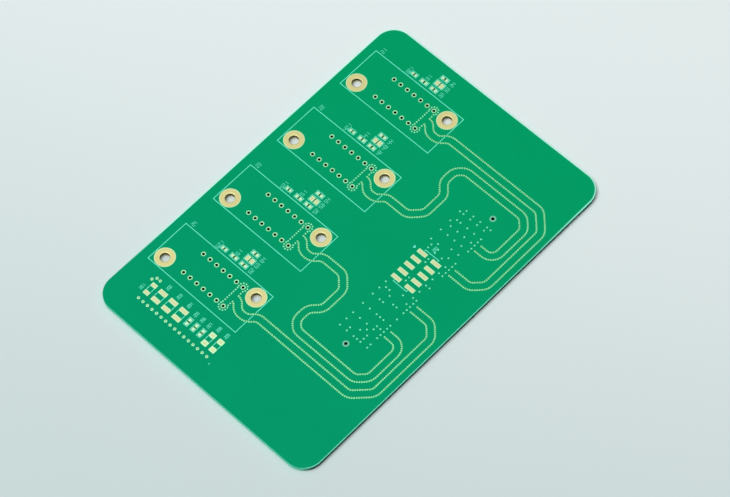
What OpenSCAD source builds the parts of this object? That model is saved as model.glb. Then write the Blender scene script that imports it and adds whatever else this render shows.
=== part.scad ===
// Bare circuit board with four module places, a ten-pad connector place and a bank of
// filter pads. All sizes are in millimetres. The origin is at the centre of the face
// that the board lies on, +X points to the connector side and +Z up.

/* [Board] */
// Width of the board, from the module side to the connector side
board_w = 80; // [80:1:110]
// Length of the board, along the row of modules
board_l = 117.2; // [117.2:0.4:150]
// Thickness of the finished board, mask to mask
board_t = 1.6; // [0.8:0.1:2.4]
// Radius of the four corners
corner_r = 6; // [1:0.5:8]

/* [Layers] */
// Thickness of the copper of pads and tracks
copper_t = 0.035; // [0.02:0.005:0.045]
// Thickness of the solder mask on each face
mask_t = 0.05; // [0.05:0.005:0.08]
// Thickness of the printed legend
ink_t = 0.02; // [0.01:0.005:0.03]
// Wall of the plating in a plated hole
plate_t = 0.04; // [0.02:0.01:0.08]
// Gap between a pad and the mask round it
mask_gap = 0.05; // [0.03:0.01:0.08]
// Bare laminate between the mask and the routed edge
mask_margin = 0.1; // [0.05:0.05:0.5]

/* [Module places] */
// Distance from one module to the next
module_pitch = 25; // [24.6:0.1:25.2]
// Distance from the top edge to the middle of the first module
module_top = 17.3; // [16.8:0.1:18]
// Distance from the left edge to the first pin
pin_inset = 13.4; // [13:0.1:15]
// Distance from one pin to the next
pin_pitch = 2.54; // [2:0.02:3.1]
// Distance between the two rows of pins
pin_row_gap = 7.62; // [6:0.02:9.2]
// Diameter of a pin hole, inside its plating
pin_hole_d = 0.8; // [0.6:0.05:1]
// Diameter of the round pad of a pin
pin_pad_d = 1.35; // [1.2:0.05:1.8]

/* [Screw holes] */
// Diameter of a screw hole, inside its plating
screw_hole_d = 2.9; // [2.2:0.1:3.4]
// Diameter of the plated ring round a screw hole
screw_ring_d = 6; // [4.6:0.1:7.4]
// Clear distance from the first pin's middle to the left screw ring
left_ring_gap = 4.05; // [2.5:0.05:5]
// Clear distance from the guard vias of the last pin to the right screw ring
right_ring_gap = 0.29; // [0.15:0.01:1]
// Distance of each screw hole above or below the middle of its module
screw_rise = 4; // [3.5:0.1:4.6]

/* [Vias and screened lanes] */
// Diameter of a small via pad
via_pad_d = 0.46; // [0.4:0.02:0.6]
// Diameter of the core of a small via
via_core_d = 0.25; // [0.15:0.05:0.35]
// Distance between vias along the fence of a lane
fence_pitch = 0.655; // [0.6:0.005:0.8]
// Width of the track that joins the vias of a fence
fence_track_w = 0.16; // [0.1:0.02:0.3]
// Distance between the two fences of a lane
fence_gap = 2.28; // [2:0.02:2.6]
// Bend radius of a lane, at its middle
lane_bend_r = 3.1; // [1.6:0.1:3.4]
// Radius of the ring of vias round an end pin
guard_r = 1.28; // [1.2:0.02:1.5]

/* [Connector place] */
// Distance from the right edge to the middle of the connector
connector_inset = 20.4; // [20:0.1:22]
// Length of a connector pad
connector_pad_l = 3.1; // [2:0.1:3.4]
// Width of a connector pad
connector_pad_w = 1.25; // [0.8:0.05:1.7]
// Distance between the two columns of connector pads
connector_span = 5; // [4.6:0.1:6]
// Diameter of a locating hole
locating_hole_d = 1; // [0.8:0.05:1.2]
// Diameter of the bare ring round a locating hole
locating_ring_d = 1.9; // [1.4:0.1:2.4]

/* [Filter bank] */
// Distance from the left edge to the first part of the bank
bank_inset = 10.45; // [9:0.05:16]
// Distance from the bottom edge to the middle of the bank
bank_rise = 11.4; // [11:0.1:12]
// Distance from the bottom edge to the row of bank vias
bank_row_rise = 7.4; // [5:0.1:7.6]
// Diameter of a bank via pad
bank_via_d = 0.85; // [0.7:0.05:1.1]

/* [Legend] */
// Width of the lines round the modules
outline_w = 0.2; // [0.12:0.02:0.3]
// Width of the fine lines
fine_w = 0.14; // [0.1:0.02:0.16]
// Width of the strokes of the figures
figure_w = 0.1; // [0.08:0.01:0.14]
// Height of the figures of a chip place
chip_figure_h = 1.05; // [0.8:0.05:1.15]
// Height of the figures of a bank part and of the connector
bank_figure_h = 0.85; // [0.8:0.05:0.95]

/* [Hidden] */
MODULES = [0:3];
$fa = 4;
$fs = 0.05;

// Levels, from the bottom face up
core_bottom = mask_t;
core_top = board_t - mask_t;

// Edges of the board and the middle line between the second and third module
left = -board_w / 2;
right = board_w / 2;
top = board_l / 2;
bottom = -board_l / 2;
mid_y = top - module_top - 1.5 * module_pitch;

// Pins: seven to a row
pins = 7;
first_pin = left + pin_inset;
last_pin = first_pin + (pins - 1) * pin_pitch;
outline_gap = 0.25; // clear of the screw rings
screw_left = left_ring_gap + screw_ring_d / 2;
screw_right = guard_r + via_pad_d / 2 + right_ring_gap + screw_ring_d / 2;
screw_spots = [[first_pin - screw_left, -screw_rise], [last_pin + screw_right, screw_rise]];
outline_reach = screw_ring_d / 2 + outline_gap;
outline_left = screw_spots[0].x - outline_reach;
outline_right = screw_spots[1].x + outline_reach;
outline_top = screw_rise + outline_reach;

// Vias that guard the last pin of each row: an arc round the pin, and lines on its left and
// right that end beside the pins and, on the right, at the fences of the lane
guard_steps = 7;
guard_angle = 36;
guard_line_pitch = 0.8;
guard_left = 1.05;
guard_right = 0.87;
guard_line_top = pin_row_gap / 2 - 1;

// Chip places above each module, as [middle from the first pin, row, size], where a size is
// [pad width, pad height, distance between the middles of the two pads]
chip_small = [0.7, 0.84, 1.12];
chip_medium = [0.9, 0.9, 1.37];
chip_large = [1.28, 1.5, 1.6];
chips = [[3.05, 0, chip_small], [6.85, 0, chip_medium], [10.5, 0, chip_medium],
         [10.6, 1, chip_large], [10.5, 2, chip_medium]];
chip_base = 1.55;
chip_row_pitch = 2.27;
chip_frame_gap = 0.22;

// Lanes: the neck that leaves a module under its ring, then the runs to the connector
neck_start = last_pin + 0.95;
neck_lead = 0.8;
neck_dip = 2.3;
neck_run = 3.1;
lane_end = right - 12.8;
upper_end_step = 0.3; // that the upper fence of a lane ends short of the lower one
outer_lane_x = right - 3.3;
inner_lane_x = outer_lane_x - 4.05;
outer_lane_y = 1.5 * module_pitch;
inner_lane_y = outer_lane_y - 4.4;
outer_end_y = 7.5;
inner_end_y = 17.65;
weave_x = last_pin + 20.5;
weave_y = 25.1;
weave_step = 3;

// Legs of the slanted corners of the lanes, from the module to the connector
outer_far_leg = 4.9;
outer_near_leg = 3.3;
inner_start_leg = 3.5;
inner_turn_leg = 2.3;
inner_far_leg = 2.95;
inner_near_leg = 1.8;

// Grid that the connector and its field of vias stand on
grid = 1.27;
connector_x = right - connector_inset;
field_x = connector_x - 3 * grid;
connector_y = mid_y + 1.15 * grid;
connector_rows = 5;
connector_pitch = 2 * grid;
locating_drop = 5.95; // from the middle of the inner lane
locating_spots = [[right - 16, mid_y + inner_lane_y - locating_drop],
                  [right - 19.1, mid_y - inner_lane_y + locating_drop]];

// The field of vias, as [row from the middle line, columns from the left]
field = [
  [19, [1, 3, 5, 7, 8]], [18, [0, 1, 3, 5, 7]], [16, [1, 2, 4, 6, 8]], [15, [0, 8]],
  [14, [1, 3, 5, 7, 8]], [13, [8]], [12, [0, 2, 4, 6, 8]], [10, [5, 7]], [9, [0, 2]],
  [8, [1, 3, 6, 8]], [7, [1, 3, 5, 8]], [6, [7, 8]], [5, [3, 8]], [4, [3, 7, 8]], [2, [7]],
  [0, [7, 8]], [-1, [3]], [-2, [3, 7]], [-4, [7, 8]], [-5, [0, 5, 8]], [-6, [1, 2, 7, 8]],
  [-7, [0, 3, 8]], [-8, [5, 6, 8]], [-9, [0, 2, 3]], [-10, [8]], [-12, [0, 2, 4, 5, 6, 8]],
  [-13, [8]], [-14, [6, 7, 8]], [-15, [0, 2, 4, 6, 8]], [-16, [5, 8]], [-17, [0, 4, 6]],
  [-18, [2, 6, 8]], [-19, [0, 2, 4, 5, 6, 8]]
];

// Parts of the bank, as [middle from the first part, size], with one pad above the other
bank_square = [1.8, 1.24, 2.86];
bank_wide = [2.74, 1.36, 2.81];
bank_chip = [0.92, 0.95, 1.35];
bank_tall = [1.9, 1.56, 3];
bank_parts = [[0, bank_square], [3.5, bank_wide], [7.5, bank_wide], [11.5, bank_wide],
              [14.75, bank_chip], [17.25, bank_chip], [19.75, bank_chip],
              [22.5, bank_tall], [25.5, bank_tall]];
bank_x = left + bank_inset;
bank_y = bottom + bank_rise;
bank_row_y = bottom + bank_row_rise;
bank_row_vias = 16;
bank_row_pitch = 1.75;
bank_row_x = bank_x - 0.5;
bank_spares = [[-1.9, 2.45], [-1.05, 3.55], [0.2, 3.55]];
bank_core_d = 0.4;

// Strokes of a digit in a box of one by two, as [from, to], and the strokes of each digit
strokes = [[[0, 2], [1, 2]], [[1, 2], [1, 1]], [[1, 1], [1, 0]], [[1, 0], [0, 0]],
           [[0, 0], [0, 1]], [[0, 1], [0, 2]], [[0, 1], [1, 1]]];
digits = [[0, 1, 2, 3, 4, 5], [1, 2], [0, 1, 6, 4, 3], [0, 1, 2, 3, 6], [5, 6, 1, 2],
          [0, 5, 6, 2, 3], [0, 5, 4, 3, 2, 6], [0, 1, 2], [0, 1, 2, 3, 4, 5, 6], [0, 1, 2, 3, 5, 6]];
module_figure_h = 1.1;
first_module_number = 21;
first_chip_number = 321; // of the first module; the next ones follow in hundreds
second_chip_number = 31; // of the first module, as those of the three places beyond; the next follow in tens
first_bank_number = 201;
digit_step = 0.66; // from one digit to the next, as a share of their height
wide_digits = 1.2; // how much wider the figures of the chip places are
ink_colour = "#e9f5ee";

// Middle line of a module
function module_y(m) = mid_y + (1.5 - m) * module_pitch;

// Vector turned by an angle, and the left-hand normal of a vector
function turned(v, a) = [v.x * cos(a) - v.y * sin(a), v.x * sin(a) + v.y * cos(a)];
function normal(v) = [-v.y, v.x] / norm(v);

// Points of one rounded corner of a route that is moved sideways by a shift, left positive; the
// bend uses no more than the room that it has on each leg
function corner_points(a, b, c, bend_r, room, shift) =
  let (u = (b - a) / norm(b - a))
  let (v = (c - b) / norm(c - b))
  let (side = u.x * v.y - u.y * v.x > 0 ? 1 : -1)
  let (sweep = acos(u * v))
  let (r = min(bend_r, room / tan(sweep / 2)))
  let (hub = b - u * r * tan(sweep / 2) + side * r * normal(u))
  let (steps = ceil(sweep / 9))
  [for (i = [0:steps]) hub + turned(-side * normal(u) * (r - side * shift), side * sweep * i / steps)];

// A route with rounded corners, moved sideways by a shift; a leg between two bends is shared
function shifted_route(route, bend_r, shift) =
  let (n = len(route))
  let (share = 0.49)
  let (rooms = [for (i = [0:n - 2]) share * norm(route[i + 1] - route[i]) * (i == 0 || i == n - 2 ? 2 : 1)])
  concat(
    [route[0] + shift * normal(route[1] - route[0])],
    [for (i = [1:n - 2])
      each corner_points(route[i - 1], route[i], route[i + 1], bend_r, min(rooms[i - 1], rooms[i]), shift)],
    [route[n - 1] + shift * normal(route[n - 1] - route[n - 2])]
  );

// Distance along a line of points at each of them
function distances(points) =
  let (last = len(points) - 1)
  [for (i = 0, d = 0; i <= last; d = d + (i < last ? norm(points[i + 1] - points[i]) : 0), i = i + 1) d];

// A line of points whose first and last points are moved by a vector
function extended(points, v) =
  [for (i = [0:len(points) - 1]) i == 0 || i == len(points) - 1 ? points[i] + v : points[i]];

// Outline of a strip along a line of points, as wide on each side as half_w, drawn anticlockwise
function strip(points, half_w) =
  let (last = len(points) - 1)
  let (sides = [for (i = [0:last]) half_w * normal(points[min(i + 1, last)] - points[max(i - 1, 0)])])
  concat([for (i = [0:last]) points[i] - sides[i]], [for (i = [last:-1:0]) points[i] + sides[i]]);

// Evenly spaced points along a line of points, as near to the pitch as fits
function spaced(points, pitch) =
  let (d = distances(points))
  let (whole = d[len(d) - 1])
  let (count = round(whole / pitch))
  let (xs = [for (i = [0:len(d) - 1]) [d[i], points[i].x]])
  let (ys = [for (i = [0:len(d) - 1]) [d[i], points[i].y]])
  [for (k = [0:count]) [lookup(k * whole / count, xs), lookup(k * whole / count, ys)]];

// Neck of a lane: it dips below the screw ring; a flip of -1 turns the dip over
function neck(flip) =
  [[0, 0], [neck_lead, 0], [neck_lead + neck_dip, -flip * neck_dip],
   [neck_lead + neck_dip + neck_run, -flip * neck_dip], [neck_lead + 2 * neck_dip + neck_run, 0]];

// Runs of the first and second lane beyond their necks, above the middle line
function outer_run() =
  [[outer_lane_x - outer_far_leg, outer_lane_y], [outer_lane_x, outer_lane_y - outer_far_leg],
   [outer_lane_x, outer_end_y + outer_near_leg], [outer_lane_x - outer_near_leg, outer_end_y],
   [lane_end, outer_end_y]];
function inner_run() =
  let (start_y = 0.5 * module_pitch)
  let (turn_x = weave_x - weave_step)
  [[weave_x - inner_start_leg, start_y], [weave_x, start_y + inner_start_leg],
   [weave_x, weave_y - weave_step / 2], [turn_x, weave_y + weave_step / 2],
   [turn_x, inner_lane_y - inner_turn_leg], [turn_x + inner_turn_leg, inner_lane_y],
   [inner_lane_x - inner_far_leg, inner_lane_y], [inner_lane_x, inner_lane_y - inner_far_leg],
   [inner_lane_x, inner_end_y + inner_near_leg], [inner_lane_x - inner_near_leg, inner_end_y],
   [lane_end, inner_end_y]];

// Whole route of a lane; the lower two mirror the upper two beyond their necks
function lane_route(m) =
  let (flip = m < 2 ? 1 : -1)
  let (outer = m == 0 || m == 3)
  let (start = [neck_start, (outer ? 1.5 : 0.5) * module_pitch])
  let (half = concat([for (p = neck(flip)) start + p], outer ? outer_run() : inner_run()))
  [for (p = half) [p.x, mid_y + flip * p.y]];

// Middle line of the fence on the left or right side of a lane, where side is 1 or -1
function fence_route(m, side) =
  let (line = shifted_route(lane_route(m), lane_bend_r, side * fence_gap / 2))
  let (last = len(line) - 1)
  [for (i = [0:last]) line[i] + (i == last && side < 0 ? [upper_end_step, 0] : [0, 0])];
function fence_spots(m, side) = spaced(fence_route(m, side), fence_pitch);

// Where the small guard vias of a module stand
function guard_spots(m) =
  let (foot = [last_pin, module_y(m)])
  let (left_line = spaced([[-guard_left, -guard_line_top], [-guard_left, guard_line_top]], guard_line_pitch))
  let (right_line = spaced([[guard_right, guard_line_top], [guard_right, fence_gap / 2]], guard_line_pitch))
  concat(
    [for (s = [-1, 1]) for (i = [0:guard_steps - 1]) let (angle = s * (i - 0.5) * guard_angle)
      foot + [0, s * pin_row_gap / 2] + guard_r * [cos(angle), sin(angle)]],
    [for (p = left_line) foot + p],
    [for (s = [-1, 1]) for (i = [0:len(right_line) - 2]) foot + [right_line[i].x, s * right_line[i].y]]
  );

// Where the pins, the chip places, the field vias, the bank parts and all other vias stand
function pin_spots(m) =
  [for (s = [-1, 1]) for (i = [0:pins - 1]) [first_pin + i * pin_pitch, module_y(m) + s * pin_row_gap / 2]];
function chip_spot(m, chip) =
  [first_pin + chip[0], module_y(m) + outline_top + chip_base + chip[1] * chip_row_pitch];
function field_spots() =
  [for (row = field) for (column = row[1]) [field_x + column * grid, mid_y + row[0] * grid]];
function bank_via_spots() =
  concat(
    [for (i = [0:bank_row_vias - 1]) [bank_row_x + i * bank_row_pitch, bank_row_y]],
    [for (spot = bank_spares) [bank_x, bank_y] + spot]
  );
function bank_spot(part) = [bank_x + part[0], bank_y];

// Flat shapes -----------------------------------------------------------------

// Outline of the board, drawn in from its edge by an inset
module board_outline(inset = 0) {
  r = corner_r - inset;
  translate([left + corner_r, bottom + inset])
    square([board_w - 2 * corner_r, board_l - 2 * inset]);
  translate([left + inset, bottom + corner_r])
    square([board_w - 2 * inset, board_l - 2 * corner_r]);
  for (x = [left + corner_r, right - corner_r], y = [bottom + corner_r, top - corner_r])
    translate([x, y]) circle(r = r);
}

// A disc at each spot
module discs(spots, d) {
  for (spot = spots) translate(spot) circle(d = d);
}

// The two pads of a chip, side by side
module pad_pair(size, grow) {
  for (s = [-1, 1])
    translate([s * size[2] / 2, 0]) square([size[0] + 2 * grow, size[1] + 2 * grow], center = true);
}

module screw_discs(m, d) {
  discs([for (spot = screw_spots) [spot.x, module_y(m) + spot.y]], d);
}

// The vias of a fence and the track that joins them
module fence_shape(m, side) {
  spots = fence_spots(m, side);
  polygon(strip(spots, fence_track_w / 2));
  discs(spots, via_pad_d);
}

// The strip that is kept open round a fence; both of its ends point to the left
module fence_channel(m, side, gap) {
  half_w = via_pad_d / 2 + gap;
  polygon(strip(extended(fence_route(m, side), [-half_w, 0]), half_w));
}

module chip_shapes(m, grow = 0) {
  for (chip = chips) translate(chip_spot(m, chip)) pad_pair(chip[2], grow);
}

module connector_shapes(grow = 0) {
  for (s = [-1, 1], i = [0:connector_rows - 1])
    translate([connector_x + s * connector_span / 2,
               connector_y + (i - (connector_rows - 1) / 2) * connector_pitch])
      square([connector_pad_l + 2 * grow, connector_pad_w + 2 * grow], center = true);
}

module bank_shapes(grow = 0) {
  for (part = bank_parts, s = [-1, 1])
    translate(bank_spot(part) + [0, s * part[1][2] / 2])
      square([part[1][0] + 2 * grow, part[1][1] + 2 * grow], center = true);
}

// A line of the legend between two points, with square ends
module ink_line(a, b, w) {
  translate((a + b) / 2) rotate(atan2(b.y - a.y, b.x - a.x)) square([norm(b - a) + w, w], center = true);
}

// A rectangle of legend lines about the origin
module ink_frame(size, w) {
  difference() {
    square([size.x + w, size.y + w], center = true);
    square([size.x - w, size.y - w], center = true);
  }
}

// A plain number of straight strokes about the origin, which reads upwards
module number(value, height, stretch = 1) {
  values = [for (c = str(value)) ord(c) - ord("0")];
  function place(end) = [(end.x - 0.5) * stretch, end.y - 1] * height / 2;
  rotate(90) for (i = [0:len(values) - 1])
    translate([(i - (len(values) - 1) / 2) * digit_step * stretch * height, 0])
      for (k = digits[values[i]]) ink_line(place(strokes[k][0]), place(strokes[k][1]), figure_w);
}

// Solids ----------------------------------------------------------------------

// A sheet of one layer, standing on a level
module layer(level, thickness) {
  translate([0, 0, level]) linear_extrude(thickness) children();
}

// A plated hole with a round pad on each face
module plated_hole(hole_d, pad_d) {
  difference() {
    union() {
      translate([0, 0, core_bottom]) cylinder(d = hole_d + 2 * plate_t, h = core_top - core_bottom);
      for (level = [core_bottom - copper_t, core_top])
        translate([0, 0, level]) cylinder(d = pad_d, h = copper_t);
    }
    translate([0, 0, -1]) cylinder(d = hole_d, h = board_t + 2);
  }
}

// The plated cores of small vias, from the bottom of the laminate to their pads
module cores(spots, d = via_core_d) {
  for (spot = spots) translate([spot.x, spot.y, core_bottom]) cylinder(d = d, h = core_top - core_bottom);
}

module laminate() {
  color("#b9b68a") layer(core_bottom, core_top - core_bottom) difference() {
    board_outline();
    for (m = MODULES) {
      screw_discs(m, screw_hole_d + 2 * plate_t);
      discs(pin_spots(m), pin_hole_d + 2 * plate_t);
      discs(guard_spots(m), via_core_d);
    }
    discs(field_spots(), via_core_d);
    discs(bank_via_spots(), bank_core_d);
    discs(locating_spots, locating_hole_d);
  }
}

module solder_mask_top() {
  color("#039c68") layer(core_top, mask_t) difference() {
    board_outline(mask_margin);
    for (m = MODULES) {
      screw_discs(m, screw_ring_d + 2 * mask_gap);
      discs(pin_spots(m), pin_pad_d + 2 * mask_gap);
      discs(guard_spots(m), via_pad_d + 2 * mask_gap);
      chip_shapes(m, mask_gap);
    }
    for (m = MODULES, side = [-1, 1]) fence_channel(m, side, mask_gap);
    discs(field_spots(), via_pad_d + 2 * mask_gap);
    connector_shapes(mask_gap);
    bank_shapes(mask_gap);
    discs(bank_via_spots(), bank_via_d + 2 * mask_gap);
    discs(locating_spots, locating_ring_d);
  }
}

module solder_mask_bottom() {
  color("#03885a") layer(0, mask_t) difference() {
    board_outline(mask_margin);
    for (m = MODULES) {
      screw_discs(m, screw_ring_d + 2 * mask_gap);
      discs(pin_spots(m), pin_pad_d + 2 * mask_gap);
    }
    discs(locating_spots, locating_ring_d);
  }
}

module screw_rings(m) {
  color("#e6d59b")
    for (spot = screw_spots)
      translate([spot.x, module_y(m) + spot.y]) plated_hole(screw_hole_d, screw_ring_d);
}

module pin_sleeves(m) {
  color("#e2d8a4")
    for (spot = pin_spots(m)) translate(spot) plated_hole(pin_hole_d, pin_pad_d);
}

module pin_guards(m) {
  color("#dfd398") {
    layer(core_top, copper_t) discs(guard_spots(m), via_pad_d);
    cores(guard_spots(m));
  }
}

module via_fences(m) {
  color("#dccf8c") layer(core_top, copper_t)
    for (side = [-1, 1]) fence_shape(m, side);
}

module chip_pads(m) {
  color("#e9dfae") layer(core_top, copper_t) chip_shapes(m);
}

module connector_pads() {
  color("#ecdcab") layer(core_top, copper_t) connector_shapes();
}

module field_vias() {
  color("#dfe0ac") {
    layer(core_top, copper_t) discs(field_spots(), via_pad_d);
    cores(field_spots());
  }
}

module bank_pads() {
  color("#ecdcab") layer(core_top, copper_t) bank_shapes();
}

module bank_vias() {
  color("#dfe0ac") {
    layer(core_top, copper_t) discs(bank_via_spots(), bank_via_d);
    cores(bank_via_spots(), bank_core_d);
  }
}

// Outline of a module, its number, and a frame and a number for each chip place
module module_legend(m) {
  middle = [(outline_left + outline_right) / 2, module_y(m)];
  module_number_spot = [outline_left + 1.7, module_y(m) + outline_top + 1.35];
  row_number_x = 13.35; // of the three places above one another, from the first pin
  first_number = first_chip_number + 100 * m;
  first_number_x = 1.85; // to the left of the first place
  second_number = second_chip_number + 10 * m;
  second_number_rise = 1.85;
  color(ink_colour) layer(board_t, ink_t) difference() {
    union() {
      translate(middle) ink_frame([outline_right - outline_left, 2 * outline_top], outline_w);
      translate(module_number_spot) number(first_module_number + m, module_figure_h);
      for (chip = chips) translate(chip_spot(m, chip))
        ink_frame([chip[2][0] + chip[2][2], chip[2][1]] + 2 * [chip_frame_gap, chip_frame_gap], fine_w);
      translate(chip_spot(m, chips[0]) - [first_number_x, 0]) number(first_number, chip_figure_h, wide_digits);
      translate(chip_spot(m, chips[1]) + [0, second_number_rise])
        number(second_number, chip_figure_h, wide_digits);
      for (i = [2:4]) translate([first_pin + row_number_x, chip_spot(m, chips[i]).y])
        number(second_number + i - 1, chip_figure_h, wide_digits);
    }
    for (side = [-1, 1]) fence_channel(m, side, 2 * mask_gap);
  }
}

// Brackets above and below the connector pads, the mark at the first pad and a number
module connector_legend() {
  bracket_x = connector_span / 2 - 0.05;
  bracket_y = (connector_rows - 1) * connector_pitch / 2 + connector_pad_w / 2 + 0.65;
  bracket_leg = 0.35;
  mark_x = connector_span / 2 + connector_pad_l / 2 + 1.2;
  mark = [[-0.4, -0.55], [-0.4, 0.55], [0.35, 0]];
  number_spot = [-0.65, bracket_y + 1.8];
  color(ink_colour) layer(board_t, ink_t) translate([connector_x, connector_y]) {
    for (s = [-1, 1]) {
      ink_line([-bracket_x, s * bracket_y], [bracket_x, s * bracket_y], outline_w);
      for (x = [-bracket_x, bracket_x])
        ink_line([x, s * (bracket_y - bracket_leg)], [x, s * bracket_y], outline_w);
    }
    translate([-mark_x, (connector_rows - 1) * connector_pitch / 2]) polygon(mark);
    translate(number_spot) number(first_bank_number - 1, bank_figure_h);
  }
}

// Lines between the two pads of each bank part, or a frame round a chip, a number for each
// part, and a short mark beyond the last via
module bank_legend() {
  line_inset = 0.1; // of the lines, from the ends of the pads
  pad_clear = 0.15; // from a line to the pads
  number_rise = 1.62; // of the numbers, above the upper pads or the frame
  first_number_spot = [-2.2, -0.95];
  end_mark = [[27.75, -4.95], [27.75, -5.25]];
  color(ink_colour) layer(board_t, ink_t) translate([bank_x, bank_y]) {
    ink_line(end_mark[0], end_mark[1], outline_w);
    for (i = [0:len(bank_parts) - 1]) {
      size = bank_parts[i][1];
      framed = size == bank_chip;
      line_x = size[0] / 2 - line_inset;
      line_y = (size[2] - size[1] - outline_w) / 2 - pad_clear;
      number_y = (size[1] + size[2]) / 2 + (framed ? chip_frame_gap : 0) + number_rise;
      translate([bank_parts[i][0], 0]) {
        if (framed)
          ink_frame([size[0], size[1] + size[2]] + 2 * [chip_frame_gap, chip_frame_gap], fine_w);
        else
          for (x = [-line_x, line_x]) ink_line([x, -line_y], [x, line_y], outline_w);
        translate(i == 0 ? first_number_spot : [0, number_y]) number(first_bank_number + i, bank_figure_h);
      }
    }
  }
}

laminate();
solder_mask_top();
solder_mask_bottom();
for (m = MODULES) {
  screw_rings(m);
  pin_sleeves(m);
  pin_guards(m);
  via_fences(m);
  chip_pads(m);
  module_legend(m);
}
connector_pads();
connector_legend();
field_vias();
bank_pads();
bank_vias();
bank_legend();
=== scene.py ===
"""Looks of a bare circuit board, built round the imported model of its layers.

The file is laid out as an add-on and run as a script: main() registers the operators, calls
them in order and leaves the finished board on a pale table.
"""

import math
from itertools import combinations

import bmesh
import bpy
from bpy.props import FloatProperty, FloatVectorProperty, PointerProperty
from mathutils import Matrix, Vector


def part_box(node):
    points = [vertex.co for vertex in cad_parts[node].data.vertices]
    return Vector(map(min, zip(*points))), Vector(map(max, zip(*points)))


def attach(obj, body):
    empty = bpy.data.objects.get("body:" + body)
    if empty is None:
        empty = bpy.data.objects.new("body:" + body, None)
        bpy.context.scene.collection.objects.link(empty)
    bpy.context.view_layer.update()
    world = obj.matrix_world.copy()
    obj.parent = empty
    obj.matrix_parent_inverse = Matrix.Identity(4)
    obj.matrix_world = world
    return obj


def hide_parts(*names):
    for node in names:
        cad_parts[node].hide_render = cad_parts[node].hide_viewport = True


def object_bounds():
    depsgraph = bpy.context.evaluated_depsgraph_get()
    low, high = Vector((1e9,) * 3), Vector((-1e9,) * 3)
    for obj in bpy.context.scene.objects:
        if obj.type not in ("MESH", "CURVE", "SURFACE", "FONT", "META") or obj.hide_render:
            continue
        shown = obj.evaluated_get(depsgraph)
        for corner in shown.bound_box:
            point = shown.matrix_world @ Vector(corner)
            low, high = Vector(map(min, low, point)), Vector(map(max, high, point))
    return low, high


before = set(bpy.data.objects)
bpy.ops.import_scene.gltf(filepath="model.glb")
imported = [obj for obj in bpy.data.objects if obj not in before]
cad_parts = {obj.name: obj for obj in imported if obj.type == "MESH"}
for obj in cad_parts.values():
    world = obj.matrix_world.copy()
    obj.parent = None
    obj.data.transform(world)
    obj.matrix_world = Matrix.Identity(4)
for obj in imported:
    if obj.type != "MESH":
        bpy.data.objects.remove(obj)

bl_info = {
    "name": "Bare Circuit Board",
    "version": (1, 0, 0),
    "blender": (4, 5, 0),
    "location": "3D View > Sidebar > Circuit Board",
    "description": "Finishes the layers, lands, vias and legend of a bare circuit board",
    "category": "Object",
}

MM = 0.001
CAD_LOW, CAD_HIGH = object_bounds()
MODULES = range(1, 5)

# Levels of the layers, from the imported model
CORE_LOW, CORE_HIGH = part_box("laminate")
MASK_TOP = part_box("solder_mask_top")[1].z
LAND_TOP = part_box("connector_pads")[1].z

# Sizes that belong to the make of the board
BOARD_CORNER = 6 * MM
PLATE = 0.04 * MM  # thickness of the plating in a hole
BREAK = 0.01 * MM  # rounding of the outer edge of a turned land
CROWN = 0.012 * MM  # rounding of the top edge of a flat land
STRIP_PROUD = 0.002 * MM  # how far a bare strip stands above the mask
TABLE_GAP = 0.1 * MM  # left below the board, which isn't perfectly flat
SHARP_ANGLE = math.radians(32)
INSET_MERGE = 0.3  # corners of an inset within this share of the corner radius become one

# Steps of the turned shapes
SCREW_STEPS = 96
PIN_STEPS = 32
BANK_VIA_STEPS = 28
VIA_STEPS = 20
FENCE_VIA_STEPS = 16

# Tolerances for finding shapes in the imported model
SAME_POINT = 1e-7
SAME_LEVEL = 1e-6
WALL_LEAN = 0.1  # most that the normal of a wall leans up or down
FLAT_LEAN = 0.99  # least for the normal of a flat face
IN_LINE = 1e-15  # four times the area of three points that are as good as in line
DISC_ERROR = 0.02  # share by which the radius of a disc may be off
DISC_DRIFT = 0.05 * MM  # between two fits of one disc
DISC_CELL = 0.1 * MM  # of the grid in which the fits are looked up
CHANNEL_REACH = (12 * MM, 75 * MM)  # longer than an opening for a land, shorter than the board

# Where one finish turns into the next, from and to
FAR_SIDE = (-12 * MM, 12 * MM)  # across the board, away from the connector and the filter bank
MASK_TURN = (CORE_LOW.y + 15 * MM, CORE_HIGH.y + 15 * MM)  # along the board
MASK_WANDER = 30 * MM  # how far that turn wanders
# The first two of these bands hold a painted highlight along the far edges
MASK_HIGHLIGHT_RIM = (0.2 * MM, 0.3 * MM)  # in from the routed edge, as are the next three
HIGHLIGHT_RIM = (0.24 * MM, 0.3 * MM)
BARE_RIM = (0.3 * MM, 0.6 * MM)
ROUTED_SIDE = (0.5 * MM, 1.0 * MM)
# By the connector the routed side is painted dark as shade, and its top edge gets a painted
# highlight
SHADED_SIDE = (CORE_HIGH.x - 3 * MM, CORE_HIGH.x - 0.3 * MM)
# Where the painted highlight at the top of that side gives way to painted shade below
TOP_HIGHLIGHT_BAND = (CORE_HIGH.z - 0.75 * MM, CORE_HIGH.z - 0.4 * MM)
TOP_FACE = (CORE_HIGH.z - 0.02 * MM, CORE_HIGH.z - 0.005 * MM)
# Where painted shade high in a screw hole gives way to a painted reflection of the table below
REFLECTION_FOOT = (LAND_TOP - 1.35 * MM, LAND_TOP - 1.05 * MM)

# Strengths of parts of the finishes
PLY_SHARE = 0.25  # how strongly the plies band the routed side
SHADE_START = 0.3  # share of a hole's shaded depth where the shade begins
HOLE_METAL = 0.05  # how metallic the plating is down in a hole
FACE_METAL = 0.4  # what it has more of on the faces of the board


# ---------------------------------------------------------------- properties


def colour(name, description, default):
    """A colour property, given in linear light."""
    return FloatVectorProperty(
        name=name, description=description, default=default,
        subtype="COLOR", size=3, min=0, max=1,
    )


def length(name, description, default):
    """A length property, in metres."""
    return FloatProperty(
        name=name, description=description, default=default,
        unit="LENGTH", subtype="DISTANCE", precision=6,
    )


def amount(name, description, default):
    """A property for a number that isn't negative."""
    return FloatProperty(name=name, description=description, default=default, min=0)


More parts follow.
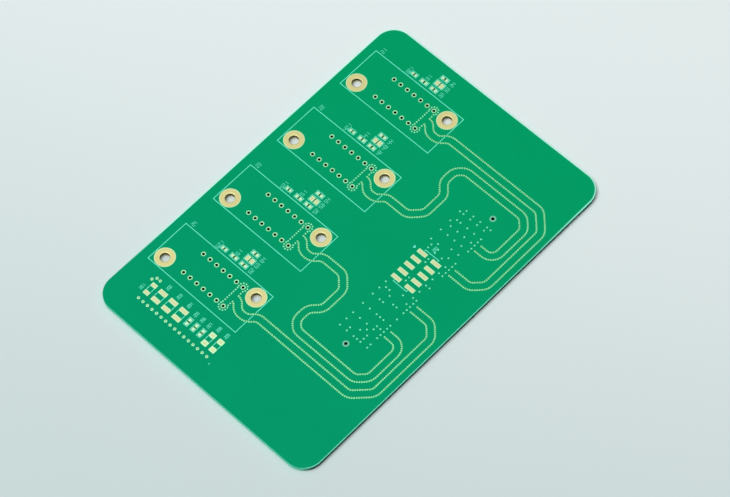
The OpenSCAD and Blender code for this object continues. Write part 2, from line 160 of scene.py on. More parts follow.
class BoardColours(bpy.types.PropertyGroup):
    """Colours of the finishes of the board."""

    mask: colour("Mask", "Solder mask towards the first module", (0.0, 0.345, 0.135))
    mask_far: colour("Far Mask", "Solder mask towards the filter bank", (0.0, 0.320, 0.143))
    # Painted highlight: the mask is painted pale mint near the far edges
    mask_edge_highlight: colour("Mask Edge Highlight", "Mask that thins out at the far edges", (0.42, 1.0, 0.82))
    fibre: colour("Glass Fibre", "Bare laminate beside a land", (0.19, 0.59, 0.40))
    fibre_rim: colour("Near Rim", "Bare laminate at the near edges", (0.02, 0.43, 0.24))
    fibre_shade: colour("Inner Rim", "Laminate beside the mask at far edges", (0.0, 0.33, 0.14))
    # Bare laminate at the far edges, painted brighter than it is as a highlight
    fibre_edge_highlight: colour("Outer Rim", "Bare laminate at the far edges", (0.42, 1.0, 0.84))
    # This and the next two are lit and shaded copies of one laminate: painted light and shade
    fibre_lit_side: colour("Lit Side", "Routed side of the laminate", (0.20, 0.95, 0.67))
    fibre_shaded_side: colour("Shaded Side", "Routed side by the connector", (0.001, 0.055, 0.033))
    fibre_top_highlight: colour("Top Highlight", "Uppermost ply of the side by the connector", (0.25, 1.0, 0.75))
    # Painted shade: walls of holes in the laminate are painted near black
    fibre_hole_shade: colour("Drilled Wall", "Wall of a hole in the laminate", (0.01, 0.05, 0.02))
    chip_strip: colour("Chip Strip", "Strip between the lands of a chip", (0.016, 0.13, 0.010))
    ring_gold: colour("Ring Gold", "Plating of the screw lands", (0.735, 0.69, 0.305))
    ring_edge: colour("Ring Edge", "Outer edge of a screw land", (0.56, 0.95, 0.53))
    # A painted highlight at the mouth of a screw hole
    ring_mouth_highlight: colour("Ring Mouth", "Mouth of a screw hole", (0.771, 0.714, 0.338))
    # Painted shade high in a screw hole, and below it a painted reflection of the bright table
    ring_wall_shade: colour("Screw Hole Wall", "Plating high in a screw hole", (0.08, 0.066, 0.005))
    ring_foot_reflection: colour("Screw Hole Foot", "Plating low in a screw hole", (0.95, 0.95, 0.82))
    pin_gold: colour("Pin Gold", "Plating of the pin lands", (0.385, 0.93, 0.50))
    land_gold: colour("Land Gold", "Plating of the broad lands", (0.70, 0.73, 0.395))
    chip_gold: colour("Chip Land Gold", "Plating of the chip lands", (0.536, 0.855, 0.620))
    via_gold: colour("Via Gold", "Plating of the small vias", (0.25, 1.0, 0.59))
    via_edge: colour("Via Edge", "Via plating where the mask flows over it", (0.10, 1.0, 0.65))
    bank_gold: colour("Bank Via Gold", "Plating of the bank vias", (0.345, 0.86, 0.47))
    fence_gold: colour("Fence Gold", "Plating of the fence vias", (0.57, 1.0, 0.60))
    fence_edge: colour("Fence Edge", "Fence via where the mask flows over it", (0.11, 1.0, 0.44))
    gold_edge: colour("Gold Edge", "Plating at its thin edges", (0.59, 1.0, 0.58))
    # Painted shade in the dimples and pin hole mouths, and the next one down in the holes
    gold_pit_shade: colour("Dimple", "Plating in the dimple of a via", (0.30, 0.42, 0.20))
    gold_deep_shade: colour("Hole Wall", "Plating down in a hole", (0.004, 0.02, 0.001))
    fence_web: colour("Fence Web", "Mask sunk between the fence vias", (0.01, 0.33, 0.10))
    ink: colour("Ink", "Printed legend", (0.15, 0.92, 0.68))


class BoardSizes(bpy.types.PropertyGroup):
    """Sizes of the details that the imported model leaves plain."""

    ring_rim: length("Ring Rim", "Width of the pale edge of a screw land", 0.35 * MM)
    ring_lip: length("Ring Lip", "Rounding of the mouth of a screw hole", 0.06 * MM)
    ring_shade: length("Ring Shade", "Depth at which a screw hole has its wall's look", 0.45 * MM)
    pin_rim: length("Pin Rim", "Width of the pale edge of a pin land", 0.08 * MM)
    pin_lip: length("Pin Lip", "Rounding of the mouth of a pin hole", 0.04 * MM)
    land_corner: length("Land Corner", "Corner radius of a flat land", 0.1 * MM)
    broad_corner: length("Broad Corner", "Corner radius of a broad land", 0.28 * MM)
    broad_land: length("Broad Land", "Least width of a land with broad corners", 1.52 * MM)
    wide_land: length("Wide Land", "Least width of a land with the deeper gold", 1.1 * MM)
    land_rim: length("Land Rim", "Width of the pale edge of a flat land", 0.2 * MM)
    via_pit: length("Via Dimple", "Depth of the dimple of a small via", 0.06 * MM)
    fence_pit: length("Fence Dimple", "Depth of the dimple of a fence via", 0.028 * MM)
    chip_reach: length("Chip Reach", "Farthest apart that two lands of one chip are", 2.0 * MM)
    fence_spread: length("Fence Spread", "How far a fence via stands out past its pad", 0.03 * MM)
    guard_cover: length("Guard Cover", "How far the mask covers a guard via's pad", 0.04 * MM)
    web_drop: length("Web Drop", "How far the sunken mask lies below the vias", 0.004 * MM)


class StageSettings(bpy.types.PropertyGroup):
    """Table, light and camera."""

    # The two tones of the table and their reach are a painted light falloff
    table_shaded: colour("Near Table", "Table towards the filter bank", (0.585, 0.695, 0.69))
    table_lit: colour("Far Table", "Table beyond the first module", (0.83, 0.90, 0.90))
    falloff_reach: length("Tone Reach", "Where the table has the one tone and the other", 0.13)
    reach: length("Table Reach", "Half the width of the table", 4.0)
    sky_low: amount("Low Fill", "Light from the horizon", 0.2)
    sky_rise: amount("High Fill", "Light added overhead", 1.4)
    sky_focus: amount("Fill Focus", "How closely it gathers overhead", 6.0)
    lamp_power: FloatProperty(
        name="Lamp", description="Power of the soft lamp", default=8.0, min=0, unit="POWER"
    )
    lamp_size: length("Lamp Size", "Width of the soft lamp", 0.6)
    lamp_place: FloatVectorProperty(
        name="Lamp Place", description="Where the soft lamp hangs",
        default=(-0.22, -0.44, 1.20), subtype="XYZ",
    )
    lens: amount("Lens", "Focal length of the camera, in millimetres", 151.1)
    camera_place: FloatVectorProperty(
        name="Camera Place", description="Where the camera stands",
        default=(0.30624, -0.26062, 0.72906), subtype="TRANSLATION",
    )
    camera_look: FloatVectorProperty(
        name="Camera Direction", description="Direction in which the camera looks",
        default=(-0.36343, 0.31515, -0.87670), subtype="DIRECTION",
    )
    camera_up: FloatVectorProperty(
        name="Camera Up", description="Upward direction of the camera",
        default=(-0.59180, 0.64869, 0.47852), subtype="DIRECTION",
    )


# --------------------------------------------------------------- node helpers


def put(tree, kind, **settings):
    """A new node of a kind, with its settings."""
    node = tree.nodes.new("ShaderNode" + kind)
    for name, value in settings.items():
        setattr(node, name, value)
    return node


def feed(tree, value, socket):
    """Links an output, or sets a plain value, on an input socket."""
    if isinstance(value, bpy.types.NodeSocket):
        tree.links.new(value, socket)
    elif socket.type == "RGBA":
        socket.default_value = (*value, 1)
    else:
        socket.default_value = value


def feed_all(tree, node, **values):
    """Feeds the named inputs of a node, such as detail_scale for Detail Scale."""
    for name, value in values.items():
        feed(tree, value, node.inputs[name.replace("_", " ").title()])
    return node


def sums(tree, operation, *values):
    """The output of a Math node."""
    node = put(tree, "Math", operation=operation)
    for value, socket in zip(values, node.inputs):
        feed(tree, value, socket)
    return node.outputs[0]


def blend(tree, share, first, second, kind="MIX"):
    """A colour between two others, by a share of the second."""
    node = put(tree, "Mix", data_type="RGBA", blend_type=kind)
    # A Mix node has inputs for each kind of data, and these three are those for colours
    for value, index in ((share, 0), (first, 6), (second, 7)):
        feed(tree, value, node.inputs[index])
    return node.outputs[2]


def step(tree, value, start, end, low=0.0, high=1.0):
    """A smooth step of a value from start to end."""
    node = put(tree, "MapRange", interpolation_type="SMOOTHSTEP")
    feed_all(tree, node, value=value, from_min=start, from_max=end, to_min=low, to_max=high)
    return node.outputs[0]


def noise(tree, place, scale, detail):
    """The value of a noise at a place, about 0 to 1."""
    node = put(tree, "TexNoise")
    return feed_all(tree, node, vector=place, scale=scale, detail=detail).outputs[0]


def axes(tree, place):
    """The X, Y and Z of a place."""
    node = put(tree, "SeparateXYZ")
    feed(tree, place, node.inputs[0])
    return tuple(node.outputs)


def painted(tree, name):
    """The value of an attribute that a mesh carries."""
    return put(tree, "Attribute", attribute_name=name).outputs["Fac"]


def new_group(name, inputs, outputs):
    """An empty shader node group with named sockets: its tree and the sockets of its two ends."""
    tree = bpy.data.node_groups.new(name, "ShaderNodeTree")
    for kind, sockets in (("INPUT", inputs), ("OUTPUT", outputs)):
        for label, default in sockets:
            data = "Vector" if hasattr(default, "__len__") else "Float"
            made = tree.interface.new_socket(label, in_out=kind, socket_type="NodeSocket" + data)
            made.default_value = default
    return tree, tree.nodes.new("NodeGroupInput").outputs, tree.nodes.new("NodeGroupOutput").inputs


def use(tree, name, **values):
    """The outputs of a group placed in a material, with its own values."""
    node = put(tree, "Group", node_tree=bpy.data.node_groups[name])
    return feed_all(tree, node, **values).outputs


def make_grain():
    """Fine grain: a value about one that varies over two scales, and a height for a bump."""
    broad_share, fine_share, gain = 0.6, 0.4, 4.0
    tree, given, made = new_group(
        "Fine Grain",
        [("Vector", (0, 0, 0)), ("Broad Scale", 60.0), ("Fine Scale", 2500.0), ("Spread", 0.05)],
        [("Value", 1.0), ("Height", 0.0)],
    )
    broad = noise(tree, given["Vector"], given["Broad Scale"], detail=3.0)
    fine = noise(tree, given["Vector"], given["Fine Scale"], detail=2.0)
    parts = sums(tree, "MULTIPLY", broad, broad_share), sums(tree, "MULTIPLY", fine, fine_share)
    centred = sums(tree, "SUBTRACT", sums(tree, "ADD", *parts), 0.5)
    swing = sums(tree, "MULTIPLY", centred, sums(tree, "MULTIPLY", given["Spread"], gain))
    feed(tree, sums(tree, "ADD", swing, 1.0), made["Value"])
    feed(tree, fine, made["Height"])


def make_edge_distance():
    """Distance inside a rounded rectangle about the middle, in metres."""
    tree, given, made = new_group(
        "Edge Distance",
        [("Vector", (0, 0, 0)), ("Half Width", 0.04), ("Half Length", 0.06), ("Corner", 0.006)],
        [("Distance", 0.0)],
    )
    x, y, _ = axes(tree, given["Vector"])
    over = []
    for along, half in ((x, "Half Width"), (y, "Half Length")):
        past = sums(tree, "SUBTRACT", sums(tree, "ABSOLUTE", along), given[half])
        over.append(sums(tree, "ADD", past, given["Corner"]))
    outer = [sums(tree, "MAXIMUM", value, 0.0) for value in over]
    squares = [sums(tree, "MULTIPLY", value, value) for value in outer]
    beyond = sums(tree, "SQRT", sums(tree, "ADD", *squares))
    inner = sums(tree, "MINIMUM", sums(tree, "MAXIMUM", *over), 0.0)
    signed = sums(tree, "SUBTRACT", sums(tree, "ADD", beyond, inner), given["Corner"])
    feed(tree, sums(tree, "MULTIPLY", signed, -1.0), made["Distance"])


def rim_distance(tree, place):
    """The distance in from the routed edge of the board."""
    return use(
        tree, "Edge Distance", vector=place,
        half_width=CORE_HIGH.x, half_length=CORE_HIGH.y, corner=BOARD_CORNER,
    )[0]


def far_side(tree, x, y):
    """1 at the edges away from the connector and the filter bank, 0 at the near ones."""
    return step(tree, sums(tree, "SUBTRACT", y, x), *FAR_SIDE)


def new_material(name, **constants):
    """A material with one Principled shader whose plain values are set on its own sockets."""
    material = bpy.data.materials.new(name)
    material.use_nodes = True
    tree = material.node_tree
    shader = tree.nodes["Principled BSDF"]
    for label, value in constants.items():
        shader.inputs[label.replace("_", " ")].default_value = value
    return material, tree, shader.inputs, put(tree, "TexCoord").outputs["Object"]


def grainy(tree, shader, place, base, broad, fine, spread, depth=None, roughness=None):
    """Gives a shader a base colour with fine grain, and grain in its bump and its roughness."""
    grain = use(tree, "Fine Grain", vector=place, broad_scale=broad, fine_scale=fine, spread=spread)
    feed(tree, blend(tree, 1.0, base, grain["Value"], "MULTIPLY"), shader["Base Color"])
    if roughness:
        feed(tree, sums(tree, "MULTIPLY", grain["Value"], roughness), shader["Roughness"])
    if depth:
        bump = feed_all(tree, put(tree, "Bump"), height=grain["Height"], distance=depth)
        feed(tree, bump.outputs[0], shader["Normal"])


def coat(material, *names):
    """Gives CAD nodes a material in place of their plain one."""
    for name in names:
        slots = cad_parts[name].material_slots
        if not slots:
            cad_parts[name].data.materials.append(material)
        for slot in slots:
            slot.material = material


def numbered(kind):
    """The names of the four nodes of a kind, one to a module."""
    return [f"{kind}_{m}" for m in MODULES]


# -------------------------------------------------------------- shape helpers


class Solid:
    """One connected solid of a CAD node: its corners and the radius of the hole on its axis."""

    def __init__(self, corners):
        self.low = Vector([min(c[axis] for c in corners) for axis in range(3)])
        self.high = Vector([max(c[axis] for c in corners) for axis in range(3)])
        self.middle = (self.low + self.high) / 2
        self.half_width = (self.high.x - self.low.x) / 2
        self.hole = min((c - self.middle).xy.length for c in corners)


def merged(name):
    """A bmesh of a CAD node with its loose triangles joined."""
    shape = bmesh.new()
    shape.from_mesh(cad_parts[name].data)
    bmesh.ops.remove_doubles(shape, verts=shape.verts, dist=SAME_POINT)
    return shape


def mesh_of(name, shape):
    """A new mesh of a bmesh, which is freed."""
    mesh = bpy.data.meshes.new(name)
    shape.to_mesh(mesh)
    shape.free()
    return mesh


def islands(elements, neighbours):
    """Sets of elements that hang together."""
    left, groups = set(elements), []
    for start in elements:
        if start not in left:
            continue
        left.discard(start)
        group, border = {start}, [start]
        while border:
            for other in neighbours(border.pop()):
                if other in left:
                    left.discard(other)
                    group.add(other)
                    border.append(other)
        groups.append(group)
    return groups


def reading_order(spot):
    """A key that sorts spots by rows."""
    return round(spot.y, 5), round(spot.x, 5)


def solids_of(name):
    """The connected solids of a CAD node, in reading order."""
    shape = merged(name)
    groups = islands(list(shape.verts), lambda v: [e.other_vert(v) for e in v.link_edges])
    solids = [Solid([v.co.copy() for v in group]) for group in groups]
    shape.free()
    return sorted(solids, key=lambda solid: reading_order(solid.middle))


def upright(face):
    """True for a wall face."""
    return abs(face.normal.z) < WALL_LEAN


def level_with(edge, level):
    """True for an edge that lies at a level."""
    return all(abs(v.co.z - level) < SAME_LEVEL for v in edge.verts)


def outline_edges(shape, level):
    """The edges at a level where a flat face meets a wall."""
    return [
        edge for edge in shape.edges
        if level_with(edge, level)
        and len(edge.link_faces) == 2
        and upright(edge.link_faces[0]) != upright(edge.link_faces[1])
    ]


def circle_through(a, b, c):
    """Centre and radius of the circle through three points, or None if they are in line."""
    double = 2 * (a.x * (b.y - c.y) + b.x * (c.y - a.y) + c.x * (a.y - b.y))
    if abs(double) < IN_LINE:
        return None
    aa, bb, cc = a.length_squared, b.length_squared, c.length_squared
    x = (aa * (b.y - c.y) + bb * (c.y - a.y) + cc * (a.y - b.y)) / double
    y = (aa * (c.x - b.x) + bb * (a.x - c.x) + cc * (b.x - a.x)) / double
    centre = Vector((x, y))
    return centre, (a - centre).length


def near_cells(spot):
    """The grid cell of a spot, and the cells round it."""
    column, row = round(spot.x / DISC_CELL), round(spot.y / DISC_CELL)
    return [(column + i, row + j) for i in (0, -1, 1) for j in (0, -1, 1)]


def disc_spots(name, radius):
    """The middles of the discs of a radius that show in the outline of a CAD node."""
    shape = merged(name)
    around = {}
    for edge in outline_edges(shape, LAND_TOP):
        for vert in edge.verts:
            around.setdefault(vert, []).append(edge.other_vert(vert))
    found = {}
    for vert, others in around.items():
        if len(others) != 2:
            continue
        fit = circle_through(others[0].co.xy, vert.co.xy, others[1].co.xy)
        if not fit or abs(fit[1] - radius) >= DISC_ERROR * radius:
            continue
        centre, cells = fit[0], near_cells(fit[0])
        known = [k for k in cells if k in found and (found[k][0] - centre).length < DISC_DRIFT]
        if known:
            found[known[0]][1] += 1
        else:
            found[cells[0]] = [centre, 1]
    shape.free()
    return sorted((spot for spot, votes in found.values() if votes > 1), key=reading_order)


def turned(name, points, steps, closed):
    """A mesh turned about Z from a profile of (radius, level, rim share)."""
    shape = bmesh.new()
    rim = shape.verts.layers.float.new("rim")
    verts = []
    for radius, level, share in points:
        vert = shape.verts.new((radius, 0, level))
        vert[rim] = share
        verts.append(vert)
    pairs = list(zip(verts, verts[1:])) + ([(verts[-1], verts[0])] if closed else [])
    edges = [shape.edges.new(pair) for pair in pairs]
    bmesh.ops.spin(
        shape, geom=verts + edges, cent=(0, 0, 0), axis=(0, 0, 1),
        angle=math.tau, steps=steps, use_merge=True,
    )
    bmesh.ops.remove_doubles(shape, verts=shape.verts, dist=SAME_POINT)
    bmesh.ops.recalc_face_normals(shape, faces=shape.faces)
    return mesh_of(name, shape)


def plated_hole(node, rim, lip, steps):
    """The template of a plated hole, with a land on each face and rounded mouths.

    The rim share is 1 at the pale edge of the land, 0 on its flat and below 0 in the mouth.
    """
    solid = solids_of(node)[0]
    outer, hole = solid.half_width, solid.hole
    nip = 0.3 * lip
    upper = [
        (hole + PLATE, CORE_HIGH.z, 0),
        (outer, CORE_HIGH.z, 1),
        (outer, LAND_TOP - BREAK, 1),
        (outer - BREAK, LAND_TOP, 1),
        (outer - rim, LAND_TOP, 0),
        (hole + lip + rim, LAND_TOP, 0),
        (hole + lip, LAND_TOP, -0.4),
        (hole + nip, LAND_TOP - nip, -1),
        (hole, LAND_TOP - lip, -0.6),
    ]
    across = CORE_LOW.z + CORE_HIGH.z
    lower = [(radius, across - level, share) for radius, level, share in reversed(upper)]
    return turned(node + " template", upper + lower, steps, closed=True)


def via_cap(name, radius, pit, steps, cover=0.3):
    """The template of a small via: a low dome with a dimple, closed below.

    Its cover is the share of the edge's colour that the mask gives the border of the dome.
    """
    dome = [
        (0, pit, -1), (0.2, 0.9 * pit, -1), (0.36, BREAK, -0.3), (0.5, 0, 0), (0.8, 0, cover),
    ]
    points = [(share * radius, LAND_TOP - drop, rim) for share, drop, rim in dome]
    points += [
        (radius - BREAK, LAND_TOP - 0.4 * BREAK, 1),
        (radius, LAND_TOP - BREAK, 1),
        (radius, CORE_HIGH.z, 1),
        (0, min(CORE_HIGH.z, LAND_TOP - pit - BREAK), 0),
    ]
    return turned(name + " template", points, steps, closed=False)


def add_copies(shape, template, spots):
    """Adds a copy of a template mesh at each spot."""
    for spot in spots:
        place = Matrix.Translation((spot.x, spot.y, 0))
        template.transform(place)
        shape.from_mesh(template)
        template.transform(place.inverted())


def add_block(shape, middle, span):
    """Adds a box of a span about a middle."""
    place = Matrix.Translation(middle) @ Matrix.Diagonal((*span, 1))
    bmesh.ops.create_cube(shape, size=1, matrix=place)


def add_strip(shape, one, other):
    """Adds the bare strip between two lands, from the laminate to just above the mask."""
    low = Vector([min(one.high[axis], other.high[axis]) for axis in (0, 1)])
    high = Vector([max(one.low[axis], other.low[axis]) for axis in (0, 1)])
    top = MASK_TOP + STRIP_PROUD
    middle = Vector(((low.x + high.x) / 2, (low.y + high.y) / 2, (top + CORE_HIGH.z) / 2))
    add_block(shape, middle, (abs(high.x - low.x), abs(high.y - low.y), top - CORE_HIGH.z))


def round_off(shape, edges, width, segments):
    """Rounds some edges of a bmesh."""
    bmesh.ops.bevel(
        shape, geom=edges, offset=width, segments=segments,
        profile=0.5, affect="EDGES", material=-1,
    )


def broadest(shape):
    """The largest face that looks up."""
    return max(shape.faces, key=lambda face: (face.normal.z > FLAT_LEAN) * face.calc_area())


def add_land(piece, solid, sizes):
    """Adds a land with rounded corners and a soft top edge in the place of a CAD solid."""
    shape = bmesh.new()
    rim, wide = (shape.verts.layers.float.new(name) for name in ("rim", "wide"))
    span = solid.high - solid.low
    width = min(span.x, span.y)
    corner = sizes.broad_corner if width > sizes.broad_land else sizes.land_corner
    add_block(shape, solid.middle, span)
    standing = [e for e in shape.edges if abs(e.verts[0].co.z - e.verts[1].co.z) > span.z / 2]
    round_off(shape, standing, corner, segments=4)
    crown = [e for e in shape.edges if level_with(e, solid.high.z)]
    round_off(shape, crown, CROWN, segments=2)
    for thickness in (corner - CROWN, sizes.land_rim):
        top = broadest(shape)
        bmesh.ops.inset_individual(shape, faces=[top], thickness=thickness, use_even_offset=True)
        bmesh.ops.remove_doubles(shape, verts=top.verts, dist=INSET_MERGE * corner)
    inner = set(broadest(shape).verts)
    for vert in shape.verts:
        vert[rim] = 0 if vert in inner else 1
        vert[wide] = 1 if width > sizes.wide_land else 0
    mesh = mesh_of("land template", shape)
    piece.from_mesh(mesh)
    bpy.data.meshes.remove(mesh)


def walls_beside(face):
    """The wall faces that share an edge with a face."""
    return [f for e in face.edges for f in e.link_faces if f is not face and upright(f)]


def channel_floor(top, bottom):
    """The mask that fills the long open channels of the top mask, from one level to another."""
    shape = merged("solder_mask_top")
    least, most = CHANNEL_REACH
    kept = set()
    for walls in islands([face for face in shape.faces if upright(face)], walls_beside):
        corners = [v.co for face in walls for v in face.verts]
        spans = [max(c[axis] for c in corners) - min(c[axis] for c in corners) for axis in (0, 1)]
        if least < max(spans) < most:
            kept.update(e for face in walls for e in face.edges if level_with(e, MASK_TOP))
    bmesh.ops.delete(shape, geom=[e for e in shape.edges if e not in kept], context="EDGES")
    bmesh.ops.triangle_fill(shape, use_beauty=True, edges=list(kept), normal=(0, 0, 1))
    if not shape.faces:
        raise RuntimeError("the channels of the fences weren't found in the top mask")
    bmesh.ops.translate(shape, verts=shape.verts, vec=(0, 0, top - MASK_TOP))
    made = bmesh.ops.extrude_face_region(shape, geom=list(shape.faces))
    lowered = [v for v in made["geom"] if isinstance(v, bmesh.types.BMVert)]
    bmesh.ops.translate(shape, verts=lowered, vec=(0, 0, bottom - top))
    bmesh.ops.recalc_face_normals(shape, faces=shape.faces)
    return shape


def settle(name, shape, material, slot, *nodes, smooth=True):
    """Makes a piece of a bmesh, with its material and the CAD nodes it stands for; its slot is not
    used.
    """
    mesh = mesh_of(name, shape)
    mesh.materials.append(material)
    if smooth:
        mesh.shade_smooth()
        mesh.set_sharp_from_angle(angle=SHARP_ANGLE)
    piece = bpy.data.objects.new(name, mesh)
    bpy.context.scene.collection.objects.link(piece)
    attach(piece, "root")
    if nodes:
        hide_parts(*nodes)


def stamp(name, template, node, material, spots=None):
    """A gold piece with a copy of a template at each spot, or in place of each solid of a node."""
    if spots is None:
        spots = [solid.middle.xy for solid in solids_of(node)]
    if not spots:
        raise RuntimeError(f"no place for {name} was found in {node}")
    shape = bmesh.new()
    add_copies(shape, template, spots)
    settle(name, shape, material, "gold_plating", node)


def plating(
    name, flat, edge, roughness, mouth=None, wall=None, reflected_foot=None, wide=None, depth=0.2 * MM
):
    """Gold plating: a satin flat, a paler edge, painted shade down in the holes and dimples, and
    where given, another colour in the mouth and a painted reflection of the table low in the hole.
    """
    colours = bpy.context.scene.board_colours
    material, tree, shader, place = new_material(name, Specular_IOR_Level=0.1)
    _, _, level = axes(tree, place)
    if wide:
        flat = blend(tree, painted(tree, "wide"), flat, wide)
    rim = painted(tree, "rim")
    edged = blend(tree, step(tree, rim, 0.0, 1.0), flat, edge)
    # The mouth takes painted shade, or the colour given: a painted highlight for screw holes, mask
    # green for fences
    face = blend(tree, step(tree, rim, -1.0, 0.0), mouth or colours.gold_pit_shade, edged)
    # Down in a hole the plating is painted in shade
    inside = wall or colours.gold_deep_shade
    # Low in a hole a painted reflection of the table takes the place of the painted shade
    if reflected_foot:
        inside = blend(tree, step(tree, level, *REFLECTION_FOOT), reflected_foot, inside)
    half = LAND_TOP / 2
    from_middle = sums(tree, "ABSOLUTE", sums(tree, "SUBTRACT", level, half))
    at_face = step(tree, from_middle, half - depth, half - SHADE_START * depth)
    base = blend(tree, at_face, inside, face)
    feed(tree, sums(tree, "MULTIPLY_ADD", at_face, FACE_METAL, HOLE_METAL), shader["Metallic"])
    grainy(
        tree, shader, place, base, broad=300.0, fine=5000.0, spread=0.05,
        depth=1.5e-6, roughness=roughness,
    )
    return material


# ------------------------------------------------------------------ operators


class CIRCUIT_OT_solder_mask(bpy.types.Operator):
    """Gives the solder mask of both faces its green satin finish"""

    bl_idname = "circuit.solder_mask"
    bl_label = "Solder Mask"

    def execute(self, context):
        colours = context.scene.board_colours
        material, tree, shader, place = new_material("green solder mask", Specular_IOR_Level=0.02)
        x, y, _ = axes(tree, place)
        wander = noise(tree, place, scale=18.0, detail=2.0)
        along = sums(tree, "MULTIPLY_ADD", wander, MASK_WANDER, y)
        green = blend(tree, step(tree, along, *MASK_TURN), colours.mask_far, colours.mask)
        # Painted highlight: the mask turns pale mint close to the far edges
        at_rim = step(tree, rim_distance(tree, place), *MASK_HIGHLIGHT_RIM, low=1.0, high=0.0)
        thin = sums(tree, "MULTIPLY", at_rim, far_side(tree, x, y))
        base = blend(tree, thin, green, colours.mask_edge_highlight)
        grainy(
            tree, shader, place, base, broad=35.0, fine=900.0, spread=0.03,
            depth=2e-6, roughness=0.4,
        )
        coat(material, "solder_mask_top", "solder_mask_bottom")
        return {"FINISHED"}


class CIRCUIT_OT_laminate(bpy.types.Operator):
    """Gives the laminate its bare faces and its routed, layered sides, with painted light and shade
    on its sides, edges and holes
    """

    bl_idname = "circuit.laminate"
    bl_label = "Laminate"

    def execute(self, context):
        material, tree, shader, place = new_material(
            "glass fibre laminate", Specular_IOR_Level=0.05
        )
        x, y, z = axes(tree, place)
        rim = rim_distance(tree, place)
        # Painted shade on the side by the connector, with a painted highlight at its top edge
        on_shaded_side = step(tree, x, *SHADED_SIDE)
        face = self.face(tree, rim, far_side(tree, x, y), on_shaded_side, context)
        side = self.side(tree, rim, z, on_shaded_side, context)
        plies = feed_all(
            tree, put(tree, "TexWave", wave_type="BANDS", bands_direction="Z"),
            vector=place, scale=900.0, distortion=1.2, detail=2.0, detail_scale=0.3,
        )
        banded = blend(tree, PLY_SHARE, side, plies.outputs["Fac"], "MULTIPLY")
        base = blend(tree, step(tree, z, *TOP_FACE), banded, face)
        grainy(
            tree, shader, place, base, broad=400.0, fine=6000.0, spread=0.08,
            depth=6e-6, roughness=0.6,
        )
        coat(material, "laminate")
        return {"FINISHED"}

    def face(self, tree, rim, far, on_shaded_side, context):
        """The colour of the bare face: beside the lands, and at each edge of the board, with a
        painted highlight along the far edges and along the edge by the connector.
        """
        colours = context.scene.board_colours
        # The outermost rim at the far edges is bare laminate painted brighter as a highlight
        outer = step(tree, rim, *HIGHLIGHT_RIM)
        far_rim_highlight = blend(tree, outer, colours.fibre_edge_highlight, colours.fibre_shade)
        edge = blend(tree, far, colours.fibre_rim, far_rim_highlight)
        edge = blend(tree, on_shaded_side, edge, colours.fibre_top_highlight)
        return blend(tree, step(tree, rim, *BARE_RIM), edge, colours.fibre)

    def side(self, tree, rim, level, on_shaded_side, context):
        """The colour of the routed sides, lit, or by the connector in painted shade with a painted
        highlight along the top, and the painted shade of the walls of the holes within them.
        """
        colours = context.scene.board_colours
        # Painted highlight high on the side, painted shade below it
        upper = step(tree, level, *TOP_HIGHLIGHT_BAND)
        shaded_side_colour = blend(tree, upper, colours.fibre_shaded_side, colours.fibre_top_highlight)
        outside = blend(tree, on_shaded_side, colours.fibre_lit_side, shaded_side_colour)
        # Walls far in from the edge, those of holes, take the painted shade
        return blend(tree, step(tree, rim, *ROUTED_SIDE), outside, colours.fibre_hole_shade)


class CIRCUIT_OT_screw_lands(bpy.types.Operator):
    """Turns the plated screw holes with their wide rings and rounded mouths"""

    bl_idname = "circuit.screw_lands"
    bl_label = "Screw Lands"

    def execute(self, context):
        sizes, colours = context.scene.board_sizes, context.scene.board_colours
        # Screw holes get painted shade high in the wall and a painted reflection low in it
        material = plating(
            "ring plating", colours.ring_gold, colours.ring_edge, roughness=0.4,
            mouth=colours.ring_mouth_highlight, wall=colours.ring_wall_shade, reflected_foot=colours.ring_foot_reflection,
            depth=sizes.ring_shade,
        )
        for m in MODULES:
            node = f"screw_rings_{m}"
            template = plated_hole(node, sizes.ring_rim, sizes.ring_lip, SCREW_STEPS)
            stamp(f"screw_lands_{m}", template, node, material)
        return {"FINISHED"}


class CIRCUIT_OT_pin_lands(bpy.types.Operator):
    """Turns the plated pin holes with their round lands"""

    bl_idname = "circuit.pin_lands"
    bl_label = "Pin Lands"

    def execute(self, context):
        sizes, colours = context.scene.board_sizes, context.scene.board_colours
        material = plating("pin plating", colours.pin_gold, colours.gold_edge, roughness=0.4)
        for m in MODULES:
            node = f"pin_sleeves_{m}"
            template = plated_hole(node, sizes.pin_rim, sizes.pin_lip, PIN_STEPS)
            stamp(f"pin_lands_{m}", template, node, material)
        return {"FINISHED"}


class CIRCUIT_OT_field_vias(bpy.types.Operator):
    """Turns the small vias of the field by the connector"""

    bl_idname = "circuit.field_vias"
    bl_label = "Field Vias"

    def execute(self, context):
        sizes, colours = context.scene.board_sizes, context.scene.board_colours
        material = plating("via plating", colours.via_gold, colours.via_edge, roughness=0.45)
        radius = solids_of("field_vias")[0].half_width
        template = via_cap("field via", radius, sizes.via_pit, VIA_STEPS)
        stamp("field_vias_plated", template, "field_vias", material)
        return {"FINISHED"}


class CIRCUIT_OT_bank_vias(bpy.types.Operator):
    """Turns the larger vias of the filter bank"""

    bl_idname = "circuit.bank_vias"
    bl_label = "Bank Vias"

    def execute(self, context):
        sizes, colours = context.scene.board_sizes, context.scene.board_colours
        material = plating(
            "bank via plating", colours.bank_gold, colours.gold_edge, roughness=0.42
        )
        radius = solids_of("bank_vias")[0].half_width
        template = via_cap("bank via", radius, 2 * sizes.via_pit, BANK_VIA_STEPS)
        stamp("bank_vias_plated", template, "bank_vias", material)
        return {"FINISHED"}


